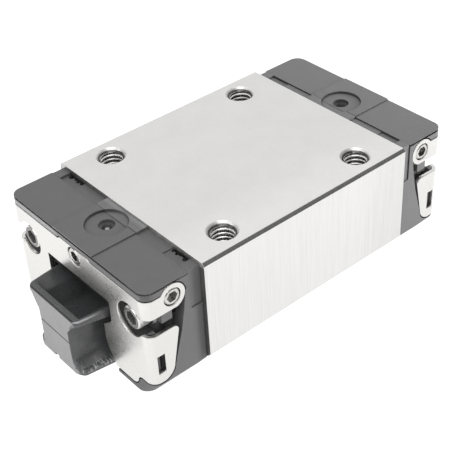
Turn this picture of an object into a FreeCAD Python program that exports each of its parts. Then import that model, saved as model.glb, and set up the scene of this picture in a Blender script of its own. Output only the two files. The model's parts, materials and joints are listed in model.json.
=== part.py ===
import FreeCAD, Part
import math
import os
import re
import Sketcher
from FreeCAD import Vector, Placement, Rotation

# Linear guide block, size 15, slim, standard height, on its mounting arbor.
# Frame: X along the travel, Y across, +Z up. The origin is under the middle of
# the block, on the plane that the end caps stand on. Millimetres.

doc = FreeCAD.newDocument("linear_guide_block")
sheet = doc.addObject("Spreadsheet::Sheet", "Dims")

DIMS = [
    # steel runner body
    ("steel_len", 39.2), ("steel_half", 17.0), ("steel_top", 19.9), ("steel_low", 2.9),
    ("top_chamfer", 0.45), ("low_chamfer", 0.7), ("channel_top", 13.2),
    ("hole_pitch", 26.0), ("hole_rad", 2.0), ("hole_depth", 6.4), ("hole_sink", 2.38),
    # ball tracks: load rows and return bores
    ("ball_rad", 1.5875), ("groove_rad", 1.66), ("return_rad", 1.75),
    ("upper_y", 8.75), ("upper_z", 10.9), ("lower_y", 7.4), ("lower_z", 6.0),
    ("upper_back_y", 13.6), ("upper_back_z", 9.6), ("lower_back_y", 12.6), ("lower_back_z", 5.4),
    # end caps
    ("end_x", 29.1), ("seam_x", 21.6), ("side_half", 16.2), ("corner_rad", 1.7), ("rim_bevel", 0.15), ("rim_lip", 0.07), ("rim_line", 0.3), ("rim_line_in", 0.32),
    ("cap_top", 19.35), ("pad_top", 19.55), ("pad_half", 4.75), ("strip_top", 19.15),
    ("pocket_low", 19.0), ("pocket_in", 10.45), ("pocket_out", 14.2),
    ("skirt_z", 13.0), ("skirt_half", 15.0), ("foot_half", 13.75),
    ("cap_foot_half", 14.0), ("cap_foot_rise", 2.8), ("cap_foot_round", 1.95),
    ("top_port_x", 23.2), ("top_port_rad", 3.2), ("top_port_floor", 19.2),
    # cap screws
    ("screw_y", 12.275), ("screw_z", 13.2), ("screw_rad", 1.25), ("screw_hole_rad", 1.32),
    ("screw_depth", 3.6), ("screw_seat", 26.2), ("screw_head_rad", 1.8), ("screw_head_len", 2.6),
    ("flange_rad", 2.25), ("flange_len", 0.5), ("screw_pocket_rad", 2.7), ("seat_pocket_rad", 3.0), ("socket_rad", 1.155),
    ("slot_floor", 14.2),
    # cover plates
    ("sheet_thick", 0.6), ("bend_rad", 1.5), ("plate_top", 17.9), ("tab_top", 18.3),
    ("plate_low", 1.0), ("wing_low", 3.1), ("wing_top", 11.75), ("slot_top", 14.75),
    ("ear_x", 24.5), ("ear_z", 16.8), ("ear_rad", 2.15), ("window_round", 0.55),
    ("catch_x", 26.66), ("catch_len", 1.25), ("catch_z", 4.85), ("catch_tall", 3.15),
    # lube ports with their set screws
    ("port_z", 16.7), ("port_rad", 1.42), ("port_hole_rad", 1.5), ("port_len", 3.0),
    ("side_port_rad", 1.32), ("side_port_hole_rad", 1.4), ("side_port_len", 2.2),
    ("port_socket_rad", 0.87),
    # seals and inserts
    ("seal_back", 27.2), ("seal_half", 8.9), ("seal_top", 14.9), ("seal_low", 0.7),
    ("strip_len", 39.0), ("felt_half", 6.2), ("felt_low", 14.7), ("felt_top", 17.2), ("felt_len", 2.7),
    # rail section that the seals and retainers keep clear of
    ("rail_head", 6.95), ("rail_waist", 4.95), ("rail_foot", 6.6),
    # mounting arbor: full section, drawn in towards both ends
    ("arbor_half_len", 34.05), ("arbor_lead", 0.95), ("arbor_taper", 7.1), ("arbor_top", 11.2), ("arbor_low", 0.5),
    ("arbor_head", 6.9), ("arbor_waist", 3.65), ("arbor_foot", 6.55), ("arbor_round", 0.3), ("arbor_lip", 9.5),
    ("lead_head", 6.05), ("lead_foot", 5.65), ("lead_lip", 10.2),
    ("tip_head", 5.2), ("tip_foot", 4.2), ("tip_lip", 10.4),
    ("trough_half", 6.4), ("trough_tip", 5.57), ("trough_neck", 2.8), ("trough_floor", 7.0), ("trough_wall", 1.1),
    ("rim_round", 0.4),
    ("mould_line_z", 6.1), ("gate_width", 0.9), ("gate_tall", 0.5),
]
for row, (alias, number) in enumerate(DIMS, start=1):
    sheet.set("A%d" % row, alias)
    sheet.set("B%d" % row, str(number))
    sheet.setAlias("B%d" % row, alias)
doc.recompute()
SIZE = {alias: float(getattr(sheet, alias)) for alias, number in DIMS}
WORD = re.compile(r"[a-z][a-z_]*")


def val(expr):
    """Value of a sum of terms, each a number, a named size or their product."""
    if not isinstance(expr, str):
        return float(expr)
    total = 0.0
    for term in re.findall(r"[+-]?[^+-]+", expr.replace(" ", "")):
        sign = -1.0 if term[0] == "-" else 1.0
        product = sign
        for factor in term.lstrip("+-").split("*"):
            product *= SIZE[factor] if factor in SIZE else float(factor)
        total += product
    return total


def bound(expr):
    return WORD.sub(lambda hit: "Dims." + hit.group(0), expr)


def minus(expr):
    if not isinstance(expr, str):
        return -expr
    text = expr.replace(" ", "")
    terms = re.findall(r"[+-]?[^+-]+", text)
    out = ""
    for term in terms:
        out += ("+" + term[1:]) if term[0] == "-" else ("-" + term.lstrip("+"))
    return out.lstrip("+")


def new_body(name):
    return doc.addObject("PartDesign::Body", name)


def role_plane(body, role):
    for item in body.Origin.OriginFeatures:
        if item.Role == role:
            return item
    raise ValueError(role)


def new_sketch(body, name, role, shift=0.0):
    sk = body.newObject("Sketcher::SketchObject", name)
    sk.AttachmentSupport = [(role_plane(body, role), "")]
    sk.MapMode = "FlatFace"
    sk.AttachmentOffset = Placement(Vector(0, 0, val(shift)), Rotation())
    if isinstance(shift, str):
        sk.setExpression("AttachmentOffset.Base.z", bound(shift))
    return sk


def circle_of(a, m, b):
    ax, ay = a
    bx, by = m
    cx, cy = b
    d = 2 * (ax * (by - cy) + bx * (cy - ay) + cx * (ay - by))
    ux = ((ax * ax + ay * ay) * (by - cy) + (bx * bx + by * by) * (cy - ay) + (cx * cx + cy * cy) * (ay - by)) / d
    uy = ((ax * ax + ay * ay) * (cx - bx) + (bx * bx + by * by) * (ax - cx) + (cx * cx + cy * cy) * (bx - ax)) / d
    return (ux, uy), math.hypot(ax - ux, ay - uy)


def outline(sk, pts):
    """Closed outline. A point is (u, v), or (u, v, mu, mv) reached by an arc through (mu, mv)."""
    count = len(pts)
    spots = [(val(p[0]), val(p[1])) for p in pts]
    geo, ends = [], []
    first = sk.GeometryCount
    for i in range(count):
        a, b, p = spots[i], spots[(i + 1) % count], pts[(i + 1) % count]
        if len(p) == 2:
            geo.append(Part.LineSegment(Vector(a[0], a[1], 0), Vector(b[0], b[1], 0)))
            ends.append((first + i, 1, 2, None))
        else:
            mid = (val(p[2]), val(p[3]))
            c, r = circle_of(a, mid, b)
            a0 = math.atan2(a[1] - c[1], a[0] - c[0])
            a1 = math.atan2(b[1] - c[1], b[0] - c[0])
            am = math.atan2(mid[1] - c[1], mid[0] - c[0])
            turn = 2 * math.pi
            ccw = (am - a0) % turn < (a1 - a0) % turn
            lo, hi = (a0, a1) if ccw else (a1, a0)
            hi = lo + (hi - lo) % turn
            geo.append(Part.ArcOfCircle(Part.Circle(Vector(c[0], c[1], 0), Vector(0, 0, 1), r), lo, hi))
            ends.append((first + i, 1, 2, r) if ccw else (first + i, 2, 1, r))
    sk.addGeometry(geo, False)
    cons, links = [], []
    for i in range(count):
        g0, s0, e0, r0 = ends[i - 1]
        g1, s1, e1, r1 = ends[i]
        cons.append(Sketcher.Constraint("Coincident", g0, e0, g1, s1))
        for kind, expr in (("DistanceX", pts[i][0]), ("DistanceY", pts[i][1])):
            cons.append(Sketcher.Constraint(kind, -1, 1, g1, s1, val(expr)))
            if isinstance(expr, str):
                links.append((len(cons) - 1, expr))
    for g, s0, e0, r in ends:
        if r:
            cons.append(Sketcher.Constraint("Radius", g, r))
    start = sk.ConstraintCount
    sk.addConstraint(cons)
    for k, expr in links:
        sk.setExpression("Constraints[%d]" % (start + k), bound(expr))


def both_sides(half):
    """Closed symmetric outline from its +u half, listed from the top middle to the bottom middle."""
    other = []
    for i in range(len(half) - 1, -1, -1):
        p = half[i]
        if not isinstance(p[0], str) and abs(p[0]) < 1e-9:
            continue
        back = half[i + 1] if i + 1 < len(half) else None
        if back is not None and len(back) == 4:
            other.append((minus(p[0]), p[1], minus(back[2]), back[3]))
        else:
            other.append((minus(p[0]), p[1]))
    return list(half) + other


def pad(body, sk, length, name, flip=False):
    f = body.newObject("PartDesign::Pad", name)
    f.Profile = sk
    f.Length = val(length)
    if isinstance(length, str):
        f.setExpression("Length", bound(length))
    f.Reversed = flip
    doc.recompute()
    return f


def cut(body, sk, length, name, flip=False):
    before = body.Shape.Volume
    f = body.newObject("PartDesign::Pocket", name)
    f.Profile = sk
    f.Length = val(length)
    if isinstance(length, str):
        f.setExpression("Length", bound(length))
    f.Reversed = flip
    doc.recompute()
    if not body.Shape.Volume < before - 1e-4:
        raise RuntimeError("%s cuts nothing" % name)
    return f


def prim(body, kind, name, at, axis, roll=None, **sizes):
    """Additive or subtractive primitive with its own Z axis turned onto axis."""
    doc.recompute()
    before = 0.0 if body.Shape.isNull() else body.Shape.Volume
    f = body.newObject("PartDesign::" + kind, name)
    for key, expr in sizes.items():
        setattr(f, key, val(expr))
        if isinstance(expr, str):
            f.setExpression(key, bound(expr))
    f.Placement = Placement(Vector(*[val(e) for e in at]), Rotation(Vector(0, 0, 1), Vector(*axis)))
    for key, expr in zip("xyz", at):
        if isinstance(expr, str):
            f.setExpression("Placement.Base." + key, bound(expr))
    doc.recompute()
    change = body.Shape.Volume - before
    if (change < 1e-4) if kind.startswith("Additive") else (change > -1e-4):
        raise RuntimeError("%s changes nothing" % name)
    return f


def solid(kind, name, at, axis, **sizes):
    f = doc.addObject(kind, name)
    for key, expr in sizes.items():
        setattr(f, key, val(expr) if key != "Polygon" else expr)
        if isinstance(expr, str):
            f.setExpression(key, bound(expr))
    f.Placement = Placement(Vector(*[val(e) for e in at]), Rotation(Vector(0, 0, 1), Vector(*axis)))
    for key, expr in zip("xyz", at):
        if isinstance(expr, str):
            f.setExpression("Placement.Base." + key, bound(expr))
    return f


NODES = []
TURNED = Placement(Vector(0, 0, 0), Rotation(Vector(0, 0, 1), 180))


def keep(obj, label, turned=False):
    obj.Label = label
    if turned:
        obj.Placement = TURNED
    NODES.append(obj)


XP, XM, YP, YM, ZP, ZM = (1, 0, 0), (-1, 0, 0), (0, 1, 0), (0, -1, 0), (0, 0, 1), (0, 0, -1)
# Each track: load row (y, z), return bore (y, z)
TRACKS = {"upper": ("upper_y", "upper_z", "upper_back_y", "upper_back_z"),
          "lower": ("lower_y", "lower_z", "lower_back_y", "lower_back_z")}


def turnaround(body, tag):
    """Ring-shaped ball turns at the end of the four tracks, centred on the steel's end face."""
    for row, (ly, lz, by, bz) in TRACKS.items():
        for side, sgn in (("left", 1), ("right", -1)):
            dy, dz = val(by) - val(ly), val(bz) - val(lz)
            ring = math.hypot(dy, dz) / 2
            mid_y = "0.5*%s+0.5*%s" % (ly, by)
            mid_z = "0.5*%s+0.5*%s" % (lz, bz)
            normal = Vector(0, -dz, sgn * dy)
            prim(body, "SubtractiveTorus", "%s_%s_%s_turn" % (tag, row, side),
                 ("0.5*steel_len", mid_y if sgn > 0 else minus(mid_y), mid_z),
                 (normal.x, normal.y, normal.z), Radius1=ring, Radius2="return_rad")


# ---------------------------------------------------------------- steel runner body
def runner_body():
    body = new_body("RunnerBody")
    sk = new_sketch(body, "RunnerSection", "YZ_Plane", "-0.5*steel_len")
    g = val("groove_rad")
    uy, uz, ly, lz = (val(k) for k in ("upper_y", "upper_z", "lower_y", "lower_z"))

    def on(cy, cz, deg):
        return cy + g * math.cos(math.radians(deg)), cz + g * math.sin(math.radians(deg))
    u0, um, u1 = on(uy, uz, 117), on(uy, uz, 41), on(uy, uz, -35)
    l0, lm, l1 = on(ly, lz, 20), on(ly, lz, -30), on(ly, lz, -80)
    half = [
        (0.0, "steel_top"),
        ("steel_half-top_chamfer", "steel_top"),
        ("steel_half", "steel_top-top_chamfer"),
        ("steel_half", "steel_low+low_chamfer"),
        ("steel_half-low_chamfer", "steel_low"),
        ("lower_y+0.75", "steel_low"),
        ("lower_y+0.75", "steel_low+0.9"),
        l1,
        (l0[0], l0[1], lm[0], lm[1]),
        ("lower_y+2.0", "lower_z+1.2"),
        ("lower_y+2.0", "upper_z-1.6"),
        u1,
        (u0[0], u0[1], um[0], um[1]),
        (u0[0], "channel_top"),
        (0.0, "channel_top"),
    ]
    outline(sk, both_sides(half))
    pad(body, sk, "steel_len", "RunnerBlock")
    # four tapped mounting holes with drill point and countersink
    for i, (sx, sy) in enumerate(((1, 1), (1, -1), (-1, 1), (-1, -1))):
        x = "0.5*hole_pitch" if sx > 0 else "-0.5*hole_pitch"
        y = "0.5*hole_pitch" if sy > 0 else "-0.5*hole_pitch"
        prim(body, "SubtractiveCylinder", "MountHole%d" % i, (x, y, "steel_top-hole_depth"), ZP,
             Radius="hole_rad", Height="hole_depth+1")
        prim(body, "SubtractiveCone", "DrillPoint%d" % i, (x, y, "steel_top-hole_depth-0.6*hole_rad"), ZP,
             Radius1=0.0, Radius2="hole_rad", Height="0.6*hole_rad")
        prim(body, "SubtractiveCone", "Sink%d" % i, (x, y, "steel_top-hole_sink+hole_rad"), ZP,
             Radius1="hole_rad", Radius2="hole_sink", Height="hole_sink-hole_rad")
    # return bores right through, and the tapped holes of the cap screws
    for row, (ly, lz, by, bz) in TRACKS.items():
        for sgn in (1, -1):
            prim(body, "SubtractiveCylinder", "%sReturn%s" % (row, "P" if sgn > 0 else "N"),
                 ("-0.5*steel_len-1", by if sgn > 0 else minus(by), bz), XP,
                 Radius="return_rad", Height="steel_len+2")
    for ex, axis in (("0.5*steel_len", XM), ("-0.5*steel_len", XP)):
        for sgn in (1, -1):
            prim(body, "SubtractiveCylinder", "CapTap", (ex, "screw_y" if sgn > 0 else "-screw_y", "screw_z"), axis,
                 Radius="screw_hole_rad", Height="screw_depth+0.4")
    keep(body, "runner_body")


# ---------------------------------------------------------------- balls, retainers, side seals
def ball_rows():
    d_min = 2 * val("ball_rad") + 0.02
    for row, (ly, lz, by, bz) in TRACKS.items():
        a = Vector(0, val(ly), val(lz))
        b = Vector(0, val(by), val(bz))
        across = b - a
        ring = across.Length / 2
        across.normalize()
        mid = (a + b) * 0.5
        straight = val("steel_len")
        total = 2 * straight + 2 * math.pi * ring

        def at(u):
            u %= total
            if u < straight:
                return Vector(-straight / 2 + u, a.y, a.z)
            u -= straight
            if u < math.pi * ring:
                w = u / ring
                return mid + Vector(straight / 2 + ring * math.sin(w), 0, 0) - across * (ring * math.cos(w))
            u -= math.pi * ring
            if u < straight:
                return Vector(straight / 2 - u, b.y, b.z)
            w = (u - straight) / ring
            return mid + Vector(-straight / 2 - ring * math.sin(w), 0, 0) + across * (ring * math.cos(w))

        def march(step):
            spots, u = [0.0], 0.0
            while True:
                lo, hi = u, u + 2.2 * step
                here = at(u)
                for k in range(60):
                    m = (lo + hi) / 2
                    if (at(m) - here).Length < step:
                        lo = m
                    else:
                        hi = m
                u = hi
                if u >= total:
                    return spots, u - total
                spots.append(u)
        spots, rest = march(d_min)
        # widen the gap a little until the last ball closes the ring
        lo, hi = d_min, d_min * 1.1
        if (at(spots[-1]) - at(0)).Length < d_min:
            count = len(spots) - 1
        else:
            count = len(spots)
        for k in range(50):
            m = (lo + hi) / 2
            s2, r2 = march(m)
            fits = len(s2) > count or (len(s2) == count and (at(s2[-1]) - at(0)).Length >= m)
            lo, hi = (m, hi) if fits else (lo, m)
        spots = march(lo)[0][:count]
        for side, sgn in (("left", 1), ("right", -1)):
            balls = []
            for i, u in enumerate(spots):
                p = at(u)
                ball = solid("Part::Sphere", "Ball_%s_%s_%d" % (row, side, i), (p.x, sgn * p.y, p.z), ZP,
                             Radius="ball_rad")
                balls.append(ball)
            group = doc.addObject("Part::Compound", "Balls_%s_%s" % (row, side))
            group.Links = balls
            keep(group, "%s_balls_%s" % (row, side))


def retainer(side, sgn):
    body = new_body("Retainer" + side)
    sk = new_sketch(body, "RetainerSection" + side, "YZ_Plane", "-0.5*strip_len")
    g = val("groove_rad")
    uy, uz, ly, lz = (val(k) for k in ("upper_y", "upper_z", "lower_y", "lower_z"))

    def on(cy, cz, deg):
        return cy + g * math.cos(math.radians(deg)), cz + g * math.sin(math.radians(deg))
    a0, am, a1 = on(uy, uz, 222), on(uy, uz, 255), on(uy, uz, 285)
    b0, bm, b1 = on(ly, lz, 35), on(ly, lz, 95), on(ly, lz, 155)
    pts = [
        ("rail_head+0.35", "upper_z-1.55"),
        a0,
        (a1[0], a1[1], am[0], am[1]),
        ("lower_y+1.9", "upper_z-1.75"),
        ("lower_y+1.9", "lower_z+1.3"),
        b0,
        (b1[0], b1[1], bm[0], bm[1]),
        ("rail_waist+0.5", "lower_z+0.7"),
        ("rail_waist+0.5", "lower_z+2.0"),
    ]
    if sgn < 0:
        flipped = [(minus(pts[0][0]), pts[0][1])]
        for i in range(len(pts) - 1, 0, -1):
            p = pts[i]
            back = pts[(i + 1) % len(pts)]
            if len(back) == 4:
                flipped.append((minus(p[0]), p[1], minus(back[2]), back[3]))
            else:
                flipped.append((minus(p[0]), p[1]))
        pts = flipped
    outline(sk, pts)
    pad(body, sk, "strip_len", "RetainerStrip" + side)
    keep(body, "ball_retainer_" + side)


def side_seal(side, sgn):
    body = new_body("SideSeal" + side)
    sk = new_sketch(body, "SideSealSection" + side, "YZ_Plane", "-0.5*strip_len")
    pts = [("rail_foot+0.5", "steel_low-1.1"), ("foot_half-0.6", "steel_low-1.1"), ("foot_half+0.1", "steel_low-0.5"),
           ("foot_half+0.1", "steel_low-0.05"), ("lower_y+0.6", "steel_low-0.05"), ("rail_foot+0.5", "steel_low-0.7")]
    if sgn < 0:
        pts = [(minus(p[0]), p[1]) for p in reversed(pts)]
    outline(sk, pts)
    pad(body, sk, "strip_len", "SideSealStrip" + side)
    keep(body, "side_seal_" + side)


# ---------------------------------------------------------------- end pieces, built at the +X end
# The rail opening of the plastic pieces, +Y half from the top middle down.
OPENING = [(0.0, "channel_top+0.2"), (7.9, "channel_top+0.2"), (7.9, 9.4), (6.5, 8.0), (6.5, 4.4), (7.6, 3.2), (7.6, -1.0), (0.0, -1.0)]


def return_plate(end, turned):
    body = new_body(end + "ReturnPlate")
    sk = new_sketch(body, end + "ReturnSection", "YZ_Plane", "0.5*steel_len")
    half = [
        (0.0, "pad_top"), ("pad_half", "pad_top"), ("pad_half", "strip_top"),
        ("pocket_in", "strip_top"), ("pocket_in", "pocket_low"), ("pocket_out", "pocket_low"),
        ("pocket_out", "cap_top"), ("side_half-0.2", "cap_top"), ("side_half-0.2", "skirt_z+0.02"),
        ("skirt_half-0.05", "skirt_z+0.02"), ("skirt_half-0.05", "wing_low-0.1"), ("skirt_half-1.5", 1.55),
        (7.6, 1.55), (7.6, 3.2), (6.5, 4.4), (6.5, 8.0), (7.9, 9.4), (7.9, "channel_top+0.2"), (0.0, "channel_top+0.2"),
    ]
    outline(sk, both_sides(half))
    pad(body, sk, "seam_x-0.5*steel_len", end + "ReturnSlab")
    turnaround(body, end + "Plate")
    for sgn in (1, -1):
        prim(body, "SubtractiveCylinder", end + "PlateScrewHole", ("0.5*steel_len-1", "screw_y" if sgn > 0 else "-screw_y", "screw_z"), XP,
             Radius="screw_hole_rad", Height=4.0)
    prim(body, "SubtractiveCylinder", end + "PlatePort", ("top_port_x", 0.0, "top_port_floor"), ZP,
         Radius="top_port_rad", Height=2.0)
    # gap with an uneven edge between the shallow pockets and the steel
    for sgn in (1, -1):
        prim(body, "SubtractiveBox", end + "PlateGap", ("0.5*steel_len-0.1", 10.6 if sgn > 0 else -14.15, "pocket_low-0.75"), ZP,
             Length=0.44, Width=3.55, Height=2.0)
        for at_x, at_y, rad in ((19.95, 10.9, 0.28), (20.02, 11.75, 0.3), (19.86, 12.35, 0.25), (19.98, 13.5, 0.42)):
            prim(body, "SubtractiveCylinder", end + "PlateNotch", (at_x, sgn * at_y, "pocket_low-0.6"), ZP, Radius=rad, Height=2.0)
    keep(body, end + "_return_plate", turned)


def strip_u(sk, inner, outer_x, outer_y, bend, back):
    """Plan outline of a U-shaped strip: outer faces at outer_x, outer_y, wall thickness inner."""
    k = 1 - math.sqrt(0.5)
    ro = val(bend)
    ri = ro - val(inner)
    ox, oy = val(outer_x), val(outer_y)
    ix, iy = ox - val(inner), oy - val(inner)
    outline(sk, [
        (back, outer_y),
        (outer_x + "-" + bend, outer_y),
        (outer_x, outer_y + "-" + bend, ox - k * ro, oy - k * ro),
        (outer_x, minus(outer_y) + "+" + bend),
        (outer_x + "-" + bend, minus(outer_y), ox - k * ro, -(oy - k * ro)),
        (back, minus(outer_y)),
        (back, minus(outer_y) + "+" + inner),
        (outer_x + "-" + bend, minus(outer_y) + "+" + inner),
        (outer_x + "-" + inner, minus(outer_y) + "+" + bend, ix - k * ri, -(iy - k * ri)),
        (outer_x + "-" + inner, outer_y + "-" + bend),
        (outer_x + "-" + bend, outer_y + "-" + inner, ix - k * ri, iy - k * ri),
        (back, outer_y + "-" + inner),
    ])


def ear_point(gap, deg):
    r = val("ear_rad") + gap
    return val("ear_x") + r * math.cos(math.radians(deg)), val("ear_z") + r * math.sin(math.radians(deg))


def window_corner(edge, up):
    """Round-off between the screw window's circle and a slot edge: point on the circle, middle, point on the edge."""
    r, big = val("window_round"), val("screw_pocket_rad")
    cy, cz = val("screw_y"), val("screw_z")
    mz = val(edge) + up * r
    my = cy + math.sqrt((big + r) ** 2 - (mz - cz) ** 2)
    share = big / (big + r)
    on_circle = (cy + share * (my - cy), cz + share * (mz - cz))
    corner = Vector(cy + math.sqrt(big ** 2 - (val(edge) - cz) ** 2), val(edge), 0) - Vector(my, mz, 0)
    corner.normalize()
    return on_circle, (my + r * corner.x, mz + r * corner.y), (my, val(edge))


def cover_plate(end, turned):
    body = new_body(end + "CoverPlate")
    sk = new_sketch(body, end + "CoverPlan", "XY_Plane", "plate_low")
    strip_u(sk, "sheet_thick", "end_x", "side_half", "bend_rad", 21.9)
    pad(body, sk, "19.2-plate_low", end + "CoverStrip")
    # top edge and ear, seen from the side; cut right across
    a, m = ear_point(0, 252.5), ear_point(0, 150)
    lift = val("plate_top") - val("ear_z")
    b = (val("ear_x") + math.sqrt(val("ear_rad") ** 2 - lift ** 2), val("plate_top"))
    sk = new_sketch(body, end + "CoverEar", "XZ_Plane", "-side_half-2")
    outline(sk, [(21.0, a[1]), a, (b[0], "plate_top", m[0], m[1]), ("end_x-0.7", "plate_top"),
                 ("end_x-0.7", 19.8), (21.0, 19.8)])
    cut(body, sk, "2*side_half+4", end + "CoverEarCut", flip=False if CUT_XZ_FLIP is None else CUT_XZ_FLIP)
    # slot between ear and lower wing
    sk = new_sketch(body, end + "CoverSlot", "XZ_Plane", "-side_half-2")
    outline(sk, [(21.0, "wing_top"), ("end_x-0.7", "wing_top"), ("end_x-0.7", "slot_top"), (21.0, "slot_top")])
    cut(body, sk, "2*side_half+4", end + "CoverSlotCut", flip=False if CUT_XZ_FLIP is None else CUT_XZ_FLIP)
    # lower wing: rounded top corner, slanting rear edge, wide curve at the bottom
    sk = new_sketch(body, end + "CoverWing", "XZ_Plane", "-side_half-2")
    outline(sk, [(21.0, "wing_top+0.1"), (24.75, "wing_top+0.1"), (24.75, "wing_top"),
                 (23.95, "wing_top-1.0", 24.16, val("wing_top") - 0.31), (25.1, 5.2),
                 (27.0, "wing_low", 25.78, 3.72), ("end_x-0.7", "wing_low"), ("end_x-0.7", 0.5), (21.0, 0.5)])
    cut(body, sk, "2*side_half+4", end + "CoverWingCut", flip=False if CUT_XZ_FLIP is None else CUT_XZ_FLIP)
    # front face: top edge with its middle tab
    sk = new_sketch(body, end + "CoverTop", "YZ_Plane", "end_x+0.5")
    outline(sk, both_sides([(0.0, 19.8), ("side_half+1", 19.8), ("side_half+1", "plate_top"), (3.9, "plate_top"),
                            (3.3, "tab_top"), (0.0, "tab_top")]))
    cut(body, sk, "bend_rad+0.5", end + "CoverTopCut")
    # front face: rail cut-out
    sk = new_sketch(body, end + "CoverRail", "YZ_Plane", "end_x+0.5")
    outline(sk, both_sides([(0.0, "screw_z"), (7.5, "screw_z"), (7.5, 9.9), (7.1, 9.2), (5.4, 7.9), (5.3, 5.4),
                            (5.6, 3.9), (6.1, 3.0), (7.3, "plate_low"), (7.3, 0.0), (0.0, 0.0)]))
    cut(body, sk, 1.5, end + "CoverRailCut")
    # front face: lower corners sweep up to the wings, screw windows open into the side slots
    for sgn in (1, -1):
        tag = end + ("L" if sgn > 0 else "R")
        low = [(11.3, 0.0), ("side_half+1", 0.0), ("side_half+1", "wing_low"), (13.7, "wing_low"),
               (12.6, 2.2, 13.05, 2.85), (11.3, "plate_low", 12.15, 1.35)]
        # the corners where the round window runs into the side slot are rounded off
        hi, lo = window_corner("slot_top", 1), window_corner("wing_top", -1)
        win = [("screw_y", "screw_z"), hi[0], (hi[2][0], "slot_top", hi[1][0], hi[1][1]), ("side_half+1", "slot_top"),
               ("side_half+1", "wing_top"), (lo[2][0], "wing_top"), (lo[0][0], lo[0][1], lo[1][0], lo[1][1])]
        if sgn < 0:
            low = [(minus(low[0][0]), low[0][1])] + [
                (minus(low[i][0]), low[i][1]) + ((minus(low[(i + 1) % 6][2]), low[(i + 1) % 6][3]) if len(low[(i + 1) % 6]) == 4 else ())
                for i in range(5, 0, -1)]
            n = len(win)
            win = [(minus(win[0][0]), win[0][1])] + [
                (minus(win[i][0]), win[i][1]) + ((minus(win[(i + 1) % n][2]), win[(i + 1) % n][3]) if len(win[(i + 1) % n]) == 4 else ())
                for i in range(n - 1, 0, -1)]
        sk = new_sketch(body, tag + "CoverLow", "YZ_Plane", "end_x+0.5")
        outline(sk, low)
        cut(body, sk, "bend_rad+0.5", tag + "CoverLowCut")
        sk = new_sketch(body, tag + "CoverWindow", "YZ_Plane", "end_x+0.5")
        outline(sk, win)
        cut(body, sk, "bend_rad+0.5", tag + "CoverWindowCut")
        y = "screw_y" if sgn > 0 else "-screw_y"
        prim(body, "SubtractiveCylinder", tag + "CoverScrewHole", ("end_x-1.5", y, "screw_z"), XP,
             Radius="screw_pocket_rad", Height=3.0)
        prim(body, "SubtractiveBox", tag + "CoverCatch", ("catch_x", 14.6 if sgn > 0 else -17.6, "catch_z"), ZP,
             Length="catch_len", Width=3.0, Height="catch_tall")
        prim(body, "SubtractiveCylinder", tag + "CoverEarHole", ("ear_x", 14.0 if sgn > 0 else -14.0, "ear_z"), YP if sgn > 0 else YM,
             Radius="side_port_hole_rad", Height=4.0)
    prim(body, "SubtractiveCylinder", end + "CoverPort", ("end_x-1.5", 0.0, "port_z"), XP, Radius="port_hole_rad", Height=3.0)
    keep(body, end + "_cover_plate", turned)


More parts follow.
